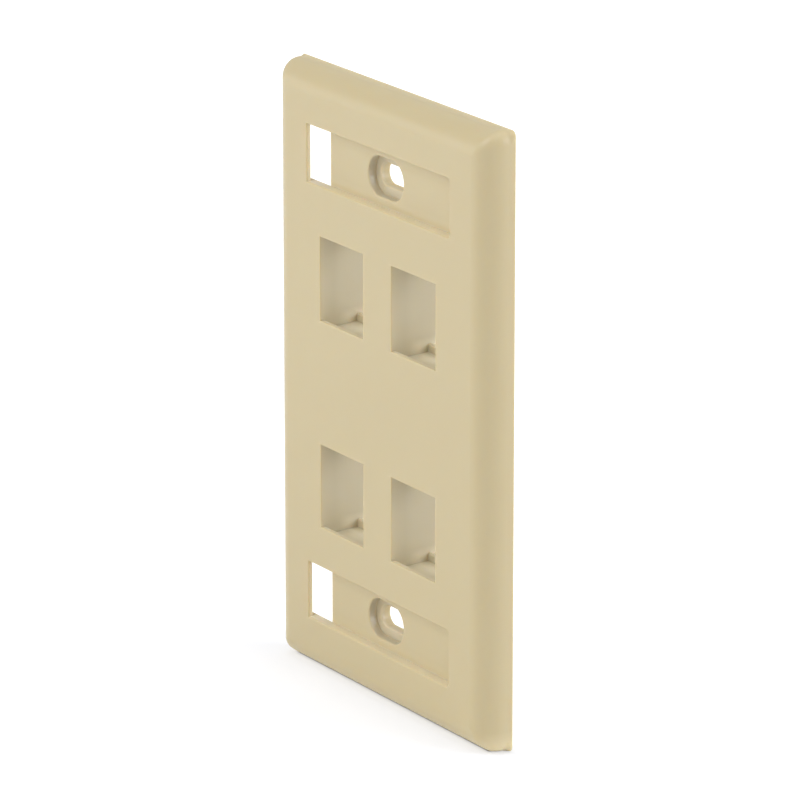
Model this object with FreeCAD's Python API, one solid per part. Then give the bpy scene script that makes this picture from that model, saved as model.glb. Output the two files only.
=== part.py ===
import FreeCAD, Part
import os
from FreeCAD import Vector

# Single-gang keystone faceplate, one hollow injection moulding.
# Frame: X to the right and Z up as seen from the room, Y into the wall.
# The rim lies in the wall plane Y = 0, and the origin is the plate's centre there.
# Every "depth" below is counted from the front face towards the wall.
os.makedirs("parts", exist_ok=True)

# Plate outline and shell
screw_pitch = 83.34
end_margin = 15.48
plate_w = 69.85
plate_h = screw_pitch + 2 * end_margin
plate_depth = 6.3
edge_round = 4.6
corner_rim_r = 1.0
corner_front_r = 2.4
wall = 2.0

# Keystone openings, two columns by two rows
port_w = 14.5
port_h = 15.9
port_cols = 2
port_rows = 2
port_pitch_x = 23.8
port_pitch_z = 39.5
port_shift_z = -0.8
port_edge_r = 0.15

# Sleeve behind each opening, with a fixed catch below and above
sleeve_depth = 9.9
sleeve_wall = 1.4
sleeve_corner_r = 1.0
lip_t = 0.9
lip_slope = 0.9
floor_drop = 1.55
floor_rise = 0.25
roof_rise = 2.1
catch_depth = 8.0
catch_step = 0.3
catch_chamfer = 0.3
catch_flat = 0.5
catch_lead = 0.9
latch_depth = 7.9
latch_flat = 0.7
latch_lead = 1.4

# Sunk label windows, one above and one below the openings
recess_w = 47.0
recess_h = 10.8
recess_depth = 1.9
recess_corner_r = 0.7
recess_edge_r = 0.3
recess_floor_t = 1.5
recess_wall = 1.4

# Slot at the left end of each window, where the window cover hooks in
slot_w = 5.25
hook_lip_t = 0.85
hook_relief = 2.6

# Snap notch in the right end wall of each window
notch_len = 6.0
notch_in = 0.7
notch_lip_t = 0.8

# Screw seats: obround counterbore, shallow dish and slot along X
seat_w = 11.6
seat_h = 7.4
seat_depth = 1.7
dish_depth = 0.25
screw_slot_w = 8.9
screw_slot_h = 4.2
boss_wall = 1.3
boss_rim_gap = 0.6
seat_edge_r = 0.3
slot_edge_r = 0.25

# Stiffening ribs inside the shell
rib_t = 1.2
rib_h = 2.3
end_rib_x = 14.0

# How far cutting tools run past a face, and how far added walls bite into the shell
over = 5.0
bite = 0.6
# Half ends of an obround stop this short of meeting
end_gap = 0.01
# Edges to be rounded are looked for this far outside an opening
reach = 1.0

half_w = plate_w / 2
half_h = plate_h / 2


def y_at(depth):
    return depth - plate_depth


def block(x0, x1, z0, z1, depth0, depth1):
    size = Vector(x1 - x0, depth1 - depth0, z1 - z0)
    return Part.makeBox(size.x, size.y, size.z, Vector(x0, y_at(depth0), z0))


def outline(x, z, w, h, r, depth):
    # Rounded rectangle about (x, z) in a plane parallel to the wall; r of h / 2 gives an obround.
    y = y_at(depth)
    a = w / 2 - r
    b = h / 2 - r
    d = r * 0.5 ** 0.5
    edges = []
    corners = [(1, 1, 0), (-1, 1, 1), (-1, -1, 2), (1, -1, 3)]
    starts = []
    ends = []
    for sx, sz, turn in corners:
        centre = Vector(x + sx * a, y, z + sz * b)
        on_x = centre + Vector(sx * r, 0, 0)
        on_z = centre + Vector(0, 0, sz * r)
        mid = centre + Vector(sx * d, 0, sz * d)
        first = on_x if turn % 2 == 0 else on_z
        last = on_z if turn % 2 == 0 else on_x
        edges.append(Part.Arc(first, mid, last).toShape())
        starts.append(first)
        ends.append(last)
    for i in range(4):
        p = ends[i]
        q = starts[(i + 1) % 4]
        if p.distanceToPoint(q) > 1e-6:
            edges.append(Part.makeLine(p, q))
    return Part.Wire(Part.__sortEdges__(edges))


def prism(x, z, w, h, r, depth0, depth1):
    face = Part.Face(outline(x, z, w, h, r, depth0))
    return face.extrude(Vector(0, depth1 - depth0, 0))


def arch(half, front_depth, radius, back_depth, place):
    # Section across the plate: flat front, quarter round at both ends, straight to the back.
    # place turns (across, depth) into a point, so one section serves both directions.
    d = radius * (1 - 0.5 ** 0.5)
    shoulder = front_depth + radius
    left_arc = Part.Arc(
        place(-half, shoulder), place(-half + d, front_depth + d), place(-half + radius, front_depth)
    ).toShape()
    right_arc = Part.Arc(
        place(half - radius, front_depth), place(half - d, front_depth + d), place(half, shoulder)
    ).toShape()
    edges = [
        Part.makeLine(place(-half, back_depth), place(-half, shoulder)),
        left_arc,
        Part.makeLine(place(-half + radius, front_depth), place(half - radius, front_depth)),
        right_arc,
        Part.makeLine(place(half, shoulder), place(half, back_depth)),
        Part.makeLine(place(half, back_depth), place(-half, back_depth)),
    ]
    return Part.Face(Part.Wire(edges))


def cushion(inset, back_depth):
    # The plate's outer form set inwards by inset: two arched sections crossed at mitred corners.
    radius = edge_round - inset
    across = arch(half_w - inset, inset, radius, back_depth, lambda a, d: Vector(a, y_at(d), -half_h))
    along = arch(half_h - inset, inset, radius, back_depth, lambda a, d: Vector(-half_w, y_at(d), a))
    form = across.extrude(Vector(0, 0, plate_h))
    return form.common(along.extrude(Vector(plate_w, 0, 0)))


def soften_corners(form, rim_r, front_r):
    # Each corner edge runs straight up from the rim and then curves in to the flat front.
    # Its round grows on the way, from rim_r at the rim to front_r at the front.
    for sx in (-1, 1):
        for sz in (-1, 1):
            for e in form.Edges:
                first = e.valueAt(e.FirstParameter)
                last = e.valueAt(e.LastParameter)
                at_corner = all(abs(p.x - sx * half_w) < 1e-4 and abs(p.z - sz * half_h) < 1e-4 for p in (first, last))
                if at_corner:
                    from_rim = abs(first.y) < 1e-4
                    break
            radii = (rim_r, front_r) if from_rim else (front_r, rim_r)
            form = form.makeFillet(radii[0], radii[1], [e])
    return form


def keystone_void(x, z):
    # Side view of the space a jack fills: lip, groove, catch and lead-in, above and below.
    low = z - port_h / 2
    high = z + port_h / 2
    floor = low - floor_drop
    roof = high + roof_rise
    side = [
        (lip_t, low),
        (lip_t + lip_slope, floor),
        (catch_depth, floor + floor_rise),
        (catch_depth, low + catch_step - catch_chamfer),
        (catch_depth + catch_chamfer, low + catch_step),
        (catch_depth + catch_chamfer + catch_flat, low + catch_step),
        (sleeve_depth, low + catch_step - catch_lead),
        (sleeve_depth + over, low + catch_step - catch_lead),
        (sleeve_depth + over, high + latch_lead),
        (sleeve_depth, high + latch_lead),
        (latch_depth + latch_flat, high),
        (latch_depth, high),
        (latch_depth, roof),
        (lip_t + lip_slope, roof),
        (lip_t, high),
    ]
    points = [Vector(x - port_w / 2, y_at(d), h) for d, h in side]
    points.append(points[0])
    void = Part.Face(Part.makePolygon(points)).extrude(Vector(port_w, 0, 0))
    return void.fuse(block(x - port_w / 2, x + port_w / 2, low, high, -over, lip_t + bite))


def round_edges(shape, depth, x0, x1, z0, z1, r):
    # Rounds the edges that lie in the plane at this depth, on or inside the given outline.
    y = y_at(depth)
    found = []
    for e in shape.Edges:
        b = e.BoundBox
        flat = abs(b.YMin - y) < 1e-4 and abs(b.YMax - y) < 1e-4
        in_width = b.XMin > x0 - reach and b.XMax < x1 + reach
        in_height = b.ZMin > z0 - reach and b.ZMax < z1 + reach
        if flat and in_width and in_height:
            found.append(e)
    return shape.makeFillet(r, found)


# Hollow shell with one even wall
outer = soften_corners(cushion(0, plate_depth), corner_rim_r, corner_front_r)
plate = outer.cut(cushion(wall, plate_depth + over))

port_centres = []
for col in range(port_cols):
    for row in range(port_rows):
        x = (col - (port_cols - 1) / 2) * port_pitch_x
        z = (row - (port_rows - 1) / 2) * port_pitch_z + port_shift_z
        port_centres.append((x, z))
window_heights = [-screw_pitch / 2, screw_pitch / 2]

# Sizes that several features share
sleeve_w = port_w + 2 * sleeve_wall
sleeve_low = port_h / 2 + floor_drop + sleeve_wall
sleeve_high = port_h / 2 + roof_rise + sleeve_wall
tray_depth = recess_depth + recess_floor_t
tray_h = recess_h + 2 * recess_wall
slot_left = -recess_w / 2
slot_right = slot_left + slot_w
boss_depth = plate_depth - boss_rim_gap
seat_end = recess_depth + seat_depth
slot_depth = seat_end + dish_depth
inner_w = half_w - wall
inner_h = half_h - wall

# Walls behind the front: sleeves, window trays, screw bosses and ribs
added = []
for x, z in port_centres:
    middle = z + (sleeve_high - sleeve_low) / 2
    h = sleeve_high + sleeve_low
    added.append(prism(x, middle, sleeve_w, h, sleeve_corner_r, wall - bite, sleeve_depth))
for z in window_heights:
    tray_right = recess_w / 2 + recess_wall
    added.append(block(slot_right, tray_right, z - tray_h / 2, z + tray_h / 2, wall - bite, tray_depth))
    boss_h = seat_h + 2 * boss_wall
    boss_w = seat_w + 2 * boss_wall
    added.append(prism(0, z, boss_w, boss_h, boss_h / 2 - end_gap, tray_depth - bite, boss_depth))


def rib(x0, x1, z0, z1):
    added.append(block(x0, x1, z0, z1, wall - bite, wall + rib_h))


tray_inner = screw_pitch / 2 - tray_h / 2
tray_outer = screw_pitch / 2 + tray_h / 2
sleeve_out = (port_cols - 1) / 2 * port_pitch_x + sleeve_w / 2 - bite
sleeve_in = port_pitch_x / 2 - sleeve_w / 2 + bite
rib(-rib_t / 2, rib_t / 2, -tray_inner - bite, tray_inner + bite)
rib(-inner_w - bite, inner_w + bite, port_shift_z - rib_t / 2, port_shift_z + rib_t / 2)
for row in range(port_rows):
    z = (row - (port_rows - 1) / 2) * port_pitch_z + port_shift_z
    rib(-sleeve_in, sleeve_in, z - rib_t / 2, z + rib_t / 2)
    for side in (-1, 1):
        span = sorted((side * sleeve_out, side * (inner_w + bite)))
        rib(span[0], span[1], z - rib_t / 2, z + rib_t / 2)
for end in (-1, 1):
    span = sorted((end * (tray_outer - bite), end * (inner_h + bite)))
    for x in (-end_rib_x, 0, end_rib_x):
        rib(x - rib_t / 2, x + rib_t / 2, span[0], span[1])
plate = plate.fuse(added).removeSplitter()

# Openings and pockets
removed = []
for x, z in port_centres:
    removed.append(keystone_void(x, z))
for z in window_heights:
    removed.append(prism(0, z, recess_w, recess_h, recess_corner_r, -over, recess_depth))
    removed.append(block(slot_left, slot_right, z - recess_h / 2, z + recess_h / 2, -over, plate_depth))
    removed.append(
        block(slot_left - hook_relief, slot_left, z - recess_h / 2, z + recess_h / 2, hook_lip_t, wall + bite)
    )
    removed.append(
        block(recess_w / 2 - bite, recess_w / 2 + notch_in, z - notch_len / 2, z + notch_len / 2,
              notch_lip_t, recess_depth)
    )
    removed.append(prism(0, z, seat_w, seat_h, seat_h / 2 - end_gap, recess_depth - bite, seat_end))
    top = outline(0, z, seat_w, seat_h, seat_h / 2 - end_gap, seat_end)
    bottom = outline(0, z, screw_slot_w, screw_slot_h, screw_slot_h / 2 - end_gap, slot_depth)
    removed.append(Part.makeLoft([top, bottom], True, True))
    removed.append(prism(0, z, screw_slot_w, screw_slot_h, screw_slot_h / 2 - end_gap, seat_end, plate_depth + over))
for tool in removed:
    plate = plate.cut(tool)
plate = plate.removeSplitter()

# Small rounds on the edges that show
for x, z in port_centres:
    left = x - port_w / 2
    low = z - port_h / 2
    plate = round_edges(plate, 0, left, left + port_w, low, low + port_h, port_edge_r)
for z in window_heights:
    low = z - recess_h / 2
    plate = round_edges(plate, 0, slot_left, -slot_left, low, low + recess_h, recess_edge_r)
    low = z - seat_h / 2
    plate = round_edges(plate, recess_depth, -seat_w / 2, seat_w / 2, low, low + seat_h, seat_edge_r)
    plate = round_edges(plate, slot_depth, -seat_w / 2, seat_w / 2, low, low + seat_h, slot_edge_r)

print("valid", plate.isValid(), "solids", len(plate.Solids), "volume", round(plate.Volume, 1))
plate.Solids[0].exportStep("parts/faceplate.step")
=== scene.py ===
import bpy
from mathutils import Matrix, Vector


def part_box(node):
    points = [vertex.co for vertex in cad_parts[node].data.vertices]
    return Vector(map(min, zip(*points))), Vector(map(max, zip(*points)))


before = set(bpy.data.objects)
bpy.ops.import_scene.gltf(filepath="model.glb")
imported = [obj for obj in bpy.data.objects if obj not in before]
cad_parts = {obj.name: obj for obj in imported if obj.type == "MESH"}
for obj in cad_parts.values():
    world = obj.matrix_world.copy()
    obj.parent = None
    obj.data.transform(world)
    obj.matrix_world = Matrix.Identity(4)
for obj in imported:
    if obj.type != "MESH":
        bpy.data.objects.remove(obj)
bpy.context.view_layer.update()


# Faceplate
# One hollow ivory moulding, screwed over a wall box: a satin show face that the
# polished half of the mould gives, and a duller, finely grained side towards the wall.

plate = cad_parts["faceplate"]
plate_low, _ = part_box("faceplate")
front_y = plate_low.y


def shading_group(name, inputs, outputs):
    # A new node group, with the sockets inside it that give its inputs and take its outputs.
    group = bpy.data.node_groups.new(name, "ShaderNodeTree")
    for label, value in inputs:
        kind = "NodeSocketColor" if isinstance(value, tuple) else "NodeSocketFloat"
        socket = group.interface.new_socket(name=label, in_out="INPUT", socket_type=kind)
        socket.default_value = value
    for label, kind in outputs:
        group.interface.new_socket(name=label, in_out="OUTPUT", socket_type=kind)
    start = group.nodes.new("NodeGroupInput")
    start.location = (-1000, 0)
    end = group.nodes.new("NodeGroupOutput")
    end.location = (800, 0)
    return group, start.outputs, end.inputs


def feed(tree, socket, source):
    # Links the output of another node to the socket, or sets a plain value on it.
    if isinstance(source, bpy.types.NodeSocket):
        tree.links.new(source, socket)
    else:
        socket.default_value = source


def object_place(tree):
    return tree.nodes.new("ShaderNodeTexCoord").outputs["Object"]


def add_noise(tree, scale, detail, roughness=0.5):
    node = tree.nodes.new("ShaderNodeTexNoise")
    feed(tree, node.inputs["Vector"], object_place(tree))
    feed(tree, node.inputs["Scale"], scale)
    feed(tree, node.inputs["Detail"], detail)
    feed(tree, node.inputs["Roughness"], roughness)
    return node.outputs["Fac"]


def add_mix(tree, kind, share, first, second):
    node = tree.nodes.new("ShaderNodeMix")
    node.data_type = kind
    feed(tree, node.inputs["Factor"], share)
    feed(tree, node.inputs["A"], first)
    feed(tree, node.inputs["B"], second)
    return node.outputs["Result"]


def pigment_drift_group():
    # Slow drift between two close colours, with finer specks, as pigment leaves in a resin.
    group, start, end = shading_group(
        "pigment_drift",
        [("Light Colour", (1, 1, 1, 1)),
         ("Deep Colour", (0.9, 0.9, 0.9, 1)),
         ("Cloud Scale", 30.0),
         ("Speck Scale", 2200.0),
         ("Speck Amount", 0.2)],
        [("Colour", "NodeSocketColor")],
    )
    clouds = add_noise(group, start["Cloud Scale"], detail=3.0, roughness=0.55)
    specks = add_noise(group, start["Speck Scale"], detail=2.0)
    share = add_mix(group, "FLOAT", start["Speck Amount"], clouds, specks)
    colour = add_mix(group, "RGBA", share, start["Light Colour"], start["Deep Colour"])
    feed(group, end["Colour"], colour)
    return group


def object_axes(tree):
    node = tree.nodes.new("ShaderNodeSeparateXYZ")
    feed(tree, node.inputs["Vector"], object_place(tree))
    return node.outputs


def add_math(tree, operation, *sources, clamp=False):
    node = tree.nodes.new("ShaderNodeMath")
    node.operation = operation
    node.use_clamp = clamp
    for socket, source in zip(node.inputs, sources):
        feed(tree, socket, source)
    return node.outputs["Value"]


def add_range(tree, value, before, after):
    # Carries a value from one pair of limits to another, and stops at both ends.
    node = tree.nodes.new("ShaderNodeMapRange")
    for label, limit in zip(("From Min", "From Max", "To Min", "To Max"), before + after):
        feed(tree, node.inputs[label], limit)
    feed(tree, node.inputs["Value"], value)
    return node.outputs["Result"]


def moulded_skin_group():
    # Fine orange peel on the show side, and a coarser spark-eroded grain behind Front Plane.
    group, start, end = shading_group(
        "moulded_skin",
        [("Front Plane", 0.0),
         ("Fade Depth", 0.001),
         ("Front Roughness", 0.31),
         ("Back Roughness", 0.6),
         ("Smudge Scale", 55.0),
         ("Peel Scale", 420.0),
         ("Peel Height", 0.00001),
         ("Grain Scale", 3200.0),
         ("Grain Height", 0.00003)],
        [("Roughness", "NodeSocketFloat"), ("Normal", "NodeSocketVector")],
    )
    roughness_spread = 0.025
    depth = add_math(group, "SUBTRACT", object_axes(group)["Y"], start["Front Plane"])
    hidden = add_math(group, "DIVIDE", depth, start["Fade Depth"], clamp=True)

    smudges = add_noise(group, start["Smudge Scale"], detail=4.0)
    uneven = add_range(group, smudges, (0.0, 1.0), (-roughness_spread, roughness_spread))
    rough = add_mix(group, "FLOAT", hidden, start["Front Roughness"], start["Back Roughness"])
    feed(group, end["Roughness"], add_math(group, "ADD", rough, uneven))

    peel = group.nodes.new("ShaderNodeBump")
    feed(group, peel.inputs["Height"], add_noise(group, start["Peel Scale"], detail=2.0))
    feed(group, peel.inputs["Distance"], start["Peel Height"])
    grain = group.nodes.new("ShaderNodeBump")
    grain_height = add_math(group, "MULTIPLY", hidden, start["Grain Height"])
    feed(group, grain.inputs["Height"], add_noise(group, start["Grain Scale"], detail=3.0))
    feed(group, grain.inputs["Distance"], grain_height)
    feed(group, grain.inputs["Normal"], peel.outputs["Normal"])
    feed(group, end["Normal"], grain.outputs["Normal"])
    return group


def box_mask_group():
    # White inside boxes that stand in two rows, Pitch Z apart, and two columns, Pitch X
    # apart; a pitch of 0 leaves one. Each box runs back from Face Plane to Depth Limit.
    # Edge Fade and Depth Fade soften its limits; Rim Width keeps only a rim of that width.
    group, start, end = shading_group(
        "box_mask",
        [("Face Plane", 0.0),
         ("Depth Fade", 0.0003),
         ("Depth Limit", 0.1),
         ("Pitch X", 0.0),
         ("Pitch Z", 0.0),
         ("Middle Z", 0.0),
         ("Half Width", 0.01),
         ("Half Height", 0.01),
         ("Edge Fade", 0.0001),
         ("Rim Width", 0.02),
         ("Rim Fade", 0.0001)],
        [("Mask", "NodeSocketFloat")],
    )
    place = object_axes(group)

    def math(operation, *sources, clamp=False):
        return add_math(group, operation, *sources, clamp=clamp)

    column = math("MULTIPLY_ADD", start["Pitch X"], -0.5, math("ABSOLUTE", place["X"]))
    across = math("SUBTRACT", math("ABSOLUTE", column), start["Half Width"])
    lift = math("ABSOLUTE", math("SUBTRACT", place["Z"], start["Middle Z"]))
    row = math("MULTIPLY_ADD", start["Pitch Z"], -0.5, lift)
    along = math("SUBTRACT", math("ABSOLUTE", row), start["Half Height"])
    outward = math("MAXIMUM", across, along)
    inward = math("MULTIPLY", outward, -1.0)
    inside = math("DIVIDE", inward, start["Edge Fade"], clamp=True)
    from_rim = math("ADD", outward, start["Rim Width"])
    rim = math("DIVIDE", from_rim, start["Rim Fade"], clamp=True)
    depth = math("SUBTRACT", place["Y"], start["Face Plane"])
    behind = math("DIVIDE", depth, start["Depth Fade"], clamp=True)
    depth_left = math("SUBTRACT", start["Depth Limit"], depth)
    before = math("DIVIDE", depth_left, start["Depth Fade"], clamp=True)
    plan = math("MULTIPLY", inside, rim)
    feed(group, end["Mask"], math("MULTIPLY", math("MULTIPLY", plan, behind), before))
    return group


pigment_drift = pigment_drift_group()
moulded_skin = moulded_skin_group()
box_mask = box_mask_group()

# The polished skin of the show face reaches this far back.
face_skin_depth = 0.0045
ivory_light = (0.640, 0.544, 0.336, 1)
ivory_deep = (0.622, 0.525, 0.318, 1)

# The sunk forms and the lower edge turn away from the light. Paler or greyer tones are painted
# into them as painted light, so that they read as under a light that reaches everywhere;
# the screw seat walls get darker painted shade instead.
openings = {"Pitch X": 0.0238, "Pitch Z": 0.0395}
opening_inside = {
    **openings, "Middle Z": -0.0005, "Half Width": 0.00735, "Half Height": 0.0099,
    "Face Plane": front_y + 0.0001,
}
near_face = {
    **openings, "Middle Z": -0.0008, "Half Width": 0.0087, "Half Height": 0.0115,
    "Face Plane": front_y - 0.0029, "Depth Fade": 0.003, "Depth Limit": 0.006,
}
near_opening_floor = {
    **openings, "Middle Z": -0.0098, "Half Width": 0.0087, "Half Height": 0.0055,
    "Edge Fade": 0.005, "Face Plane": front_y + 0.0010, "Depth Fade": 0.003,
}
deep_low_corner = {
    **openings, "Middle Z": -0.0098, "Half Width": 0.0087, "Half Height": 0.0026,
    "Edge Fade": 0.0012, "Face Plane": front_y + 0.0040, "Depth Fade": 0.002,
}
windows = {"Pitch Z": 0.08334, "Half Width": 0.0237, "Half Height": 0.0056}
window_floor_edge = {
    **windows, "Rim Width": 0.0024, "Rim Fade": 0.0024,
    "Face Plane": front_y + 0.0010, "Depth Limit": 0.0016,
}
window_walls = {
    **windows, "Rim Width": 0.0003, "Face Plane": front_y + 0.0001, "Depth Limit": 0.0025,
}
window_lower_wall = {
    **windows, "Middle Z": -0.0054, "Half Height": 0.0003,
    "Face Plane": front_y + 0.0001, "Depth Limit": 0.0025,
}
seats = {"Pitch Z": 0.08334, "Half Width": 0.0060, "Half Height": 0.0040}
screw_seats = {**seats, "Face Plane": front_y + 0.0019, "Depth Limit": 0.0027}
screw_seat_floors = {**seats, "Face Plane": front_y + 0.0031, "Depth Limit": 0.0015}
lower_edge = {
    "Middle Z": plate_low.z, "Half Width": 0.0400, "Half Height": 0.0042,
    "Edge Fade": 0.0036, "Face Plane": front_y + 0.0003, "Depth Fade": 0.0012,
}
# Each painted tone lies where all its boxes meet, and over the tones before it.
painted_light_and_shade = [
    # Painted light: paler, greyer tones inside the openings and windows and along the lower edge.
    ([opening_inside], (0.612, 0.546, 0.390, 1)),
    ([opening_inside, near_face], (0.700, 0.625, 0.450, 1)),
    ([opening_inside, near_opening_floor], (0.640, 0.572, 0.408, 1)),
    ([opening_inside, deep_low_corner], (0.730, 0.660, 0.490, 1)),
    ([window_floor_edge], (0.720, 0.620, 0.400, 1)),
    ([window_walls], (0.720, 0.640, 0.460, 1)),
    ([window_lower_wall], (0.770, 0.685, 0.490, 1)),
    # Painted shade: the screw seat walls are darker than the plastic.
    ([screw_seats], (0.556, 0.497, 0.368, 1)),
    ([screw_seat_floors], (0.655, 0.570, 0.398, 1)),
    ([lower_edge], (0.770, 0.665, 0.430, 1)),
]


def new_material(name):
    mat = bpy.data.materials.new(name)
    mat.use_nodes = True
    return mat, mat.node_tree, mat.node_tree.nodes["Principled BSDF"].inputs


def add_group(tree, group, values):
    node = tree.nodes.new("ShaderNodeGroup")
    node.node_tree = group
    for label, value in values.items():
        node.inputs[label].default_value = value
    return node.outputs


def ivory_plastic():
    mat, tree, shader = new_material("ivory_plastic")
    shader["IOR"].default_value = 1.5
    shader["Subsurface Weight"].default_value = 0.8
    shader["Subsurface Radius"].default_value = (1.0, 0.8, 0.55)
    shader["Subsurface Scale"].default_value = 0.001
    pigment = {"Light Colour": ivory_light, "Deep Colour": ivory_deep}
    tone = add_group(tree, pigment_drift, pigment)["Colour"]
    # Painted light and shade: these tones are mixed over the pigment in the sunk forms and along
    # the lower edge.
    for boxes, painted_tone in painted_light_and_shade:
        masks = [add_group(tree, box_mask, sizes)["Mask"] for sizes in boxes]
        share = masks[0]
        for mask in masks[1:]:
            share = add_math(tree, "MULTIPLY", share, mask)
        tone = add_mix(tree, "RGBA", share, tone, painted_tone)
    skin = add_group(tree, moulded_skin, {"Front Plane": front_y + face_skin_depth})
    feed(tree, shader["Base Color"], tone)
    feed(tree, shader["Roughness"], skin["Roughness"])
    feed(tree, shader["Normal"], skin["Normal"])
    return mat


plate.material_slots[0].material = ivory_plastic()


# Floor
# One pale sweep under and behind the plate, level with its lower edge.
# To the camera it glows to plain white, less in front, so the contact shadow stays;
# right under the plate the glow is cut, which paints a dark contact shadow.

floor_size = 30.0
floor_light = (0.97, 0.97, 0.97, 1)
floor_deep = (0.96, 0.96, 0.96, 1)
# What the camera sees of the floor's own colour; its glow makes up the rest of the white.
floor_seen = (0.495, 0.50, 0.53, 1)
glow_front = 0.52
glow_behind = 0.80
glow_turn = (0.0, 0.003)
# Out in front, past the shadow, the glow grows by this much over this stretch of Y.
glow_more = 0.07
glow_reach = (-0.014, -0.004)
# Right under the plate only this share of the glow is kept, which paints a dark contact shadow
# there.
painted_shadow_glow_share = 0.1
painted_contact_shadow_box = {
    "Half Width": 0.0328, "Edge Fade": 0.0010,
    "Face Plane": -0.0036, "Depth Fade": 0.0005, "Depth Limit": 0.0036,
}


def white_sweep():
    mat, tree, shader = new_material("white_sweep")
    shader["Roughness"].default_value = 0.9
    shader["Specular IOR Level"].default_value = 0.0
    pigment = {
        "Light Colour": floor_light, "Deep Colour": floor_deep,
        "Cloud Scale": 2.0, "Speck Scale": 300.0,
    }
    colour = add_group(tree, pigment_drift, pigment)["Colour"]
    to_camera = tree.nodes.new("ShaderNodeLightPath").outputs["Is Camera Ray"]
    feed(tree, shader["Base Color"], add_mix(tree, "RGBA", to_camera, colour, floor_seen))

    back = object_axes(tree)["Y"]
    glow = add_range(tree, back, glow_turn, (glow_front, glow_behind))
    further = add_range(tree, back, glow_reach, (glow_more, 0.0))
    # Painted contact shadow: the glow is cut right under the plate.
    under = add_group(tree, box_mask, painted_contact_shadow_box)["Mask"]
    kept = add_range(tree, under, (0.0, 1.0), (1.0, painted_shadow_glow_share))
    open_glow = add_math(tree, "ADD", glow, further)
    feed(tree, shader["Emission Color"], add_math(tree, "MULTIPLY", open_glow, kept))
    feed(tree, shader["Emission Strength"], to_camera)
    return mat


bpy.ops.object.select_all(action="DESELECT")
bpy.ops.mesh.primitive_plane_add(size=floor_size, location=(0, 0, plate_low.z))
floor = bpy.context.object
floor.name = "floor"
floor.data.materials.append(white_sweep())


# Light
# An even pale room with large soft panels in front on the left, overhead and behind on
# the right, and a faint small one low on the left, for the sheen along the upper edge.

# Pi squared: the watts that make a white card one metre off, turned to the panel, white.
card_watts = 9.87


def soft_panel(name, place, size, brightness, tint=(1, 1, 1)):
    # Brightness is what a white card at the plate, turned to the panel, would show.
    light = bpy.data.lights.new(name, "AREA")
    light.shape = "SQUARE"
    light.size = size
    light.energy = brightness * card_watts * Vector(place).length_squared
    light.color = tint
    lamp = bpy.data.objects.new(name, light)
    lamp.location = place
    lamp.rotation_euler = (-Vector(place)).to_track_quat("-Z", "Y").to_euler()
    bpy.context.scene.collection.objects.link(lamp)


soft_panel("front_panel", (-0.77, -2.86, 2.82), size=2.56, brightness=0.43, tint=(1, 1, 0.98))
soft_panel("overhead_panel", (0, 0.38, 4.06), size=2.56, brightness=0.19, tint=(1, 1.01, 1.01))
soft_panel("right_panel", (2.94, 2.37, 1.57), size=2.56, brightness=0.48, tint=(0.98, 1, 1.06))
soft_panel("sheen_panel", (-0.41, -0.30, 0.11), size=0.20, brightness=0.056)

# The room lights the object at room_level, and the camera sees it plain white.
room_level = 0.45
world = bpy.data.worlds.new("pale_room")
world.use_nodes = True
room = world.node_tree
background = room.nodes["Background"].inputs
background["Color"].default_value = (1.0, 1.0, 1.0, 1)
seen_by_camera = room.nodes.new("ShaderNodeLightPath").outputs["Is Camera Ray"]
feed(room, background["Strength"], add_range(room, seen_by_camera, (0.0, 1.0), (room_level, 1.0)))
bpy.context.scene.world = world


# Camera
# Long lens from the right and above, as the photograph was taken.

camera_data = bpy.data.cameras.new("camera")
camera_data.sensor_width = 36.0
camera_data.lens = 265.65
camera_data.clip_start = 0.05
camera_data.clip_end = 60.0
camera = bpy.data.objects.new("camera", camera_data)
camera.location = (0.85631, -0.55497, 0.30753)
view_direction = Vector((-0.80399, 0.51982, -0.28877))
camera.rotation_euler = view_direction.to_track_quat("-Z", "Y").to_euler()
bpy.context.scene.collection.objects.link(camera)
bpy.context.scene.camera = camera

bpy.context.scene.view_settings.view_transform = "Standard"
